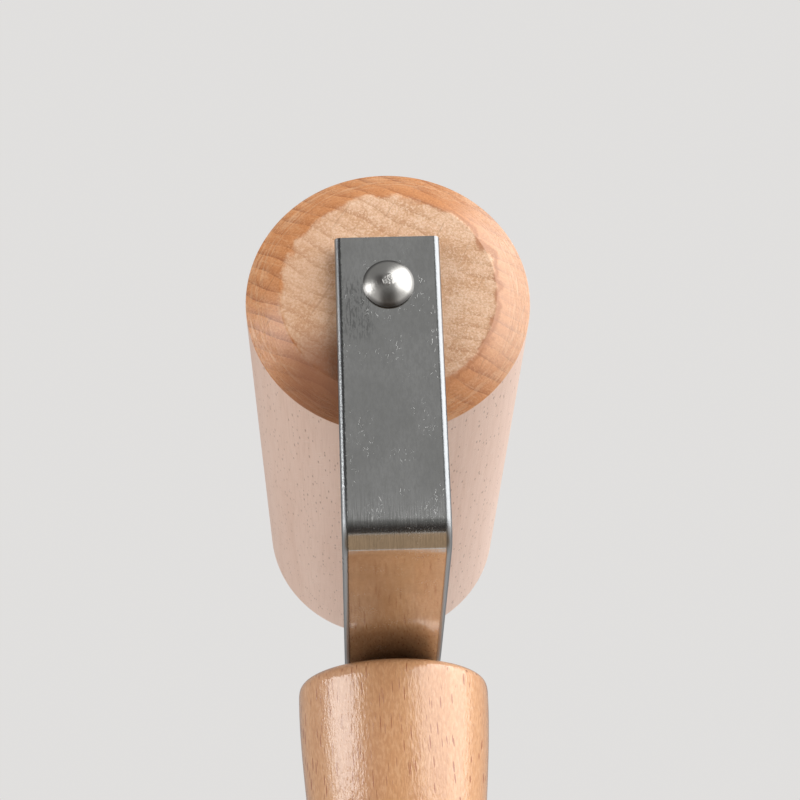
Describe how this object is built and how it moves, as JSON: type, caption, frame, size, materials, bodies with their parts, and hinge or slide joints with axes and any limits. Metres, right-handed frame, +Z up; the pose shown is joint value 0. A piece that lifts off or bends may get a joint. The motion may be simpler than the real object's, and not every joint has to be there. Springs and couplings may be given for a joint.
{
  "type": "handheld clay roller",
  "caption": "One-hand clay roller: a beech roller spinning on a riveted axle in a U-shaped chromed steel bracket, on a turned and varnished beech handle.",
  "frame": {"origin": "centre of the handle's flat butt, on which the tool stands", "axes": "+Z up the handle to the roller, X along the roller's axle, Y across the bracket's strip"},
  "size_m": [0.1246, 0.045, 0.1776],
  "materials": {
    "chromed_steel": "chrome plated, lightly scratched",
    "zinc_plated_steel": "zinc plated",
    "beech": "turned, sanded and oiled",
    "varnished_beech": "glossy clear varnish",
    "nylon": "moulded"
  },
  "bodies": {
    "frame": {"u_bracket": "chromed_steel", "axle_rivet": "chromed_steel", "near_thrust_washer": "zinc_plated_steel", "far_thrust_washer": "zinc_plated_steel", "handle": "varnished_beech", "handle_screw": "zinc_plated_steel", "screw_washer": "zinc_plated_steel"},
    "roller": {"roller": "beech", "near_bushing": "nylon", "far_bushing": "nylon"}
  },
  "joints": [
    {"name": "roller_spin", "type": "hinge", "parent": "frame", "child": "roller", "pos_m": [0, 0, 0.1551], "axis": [1, 0, 0], "continuous": true}
  ]
}
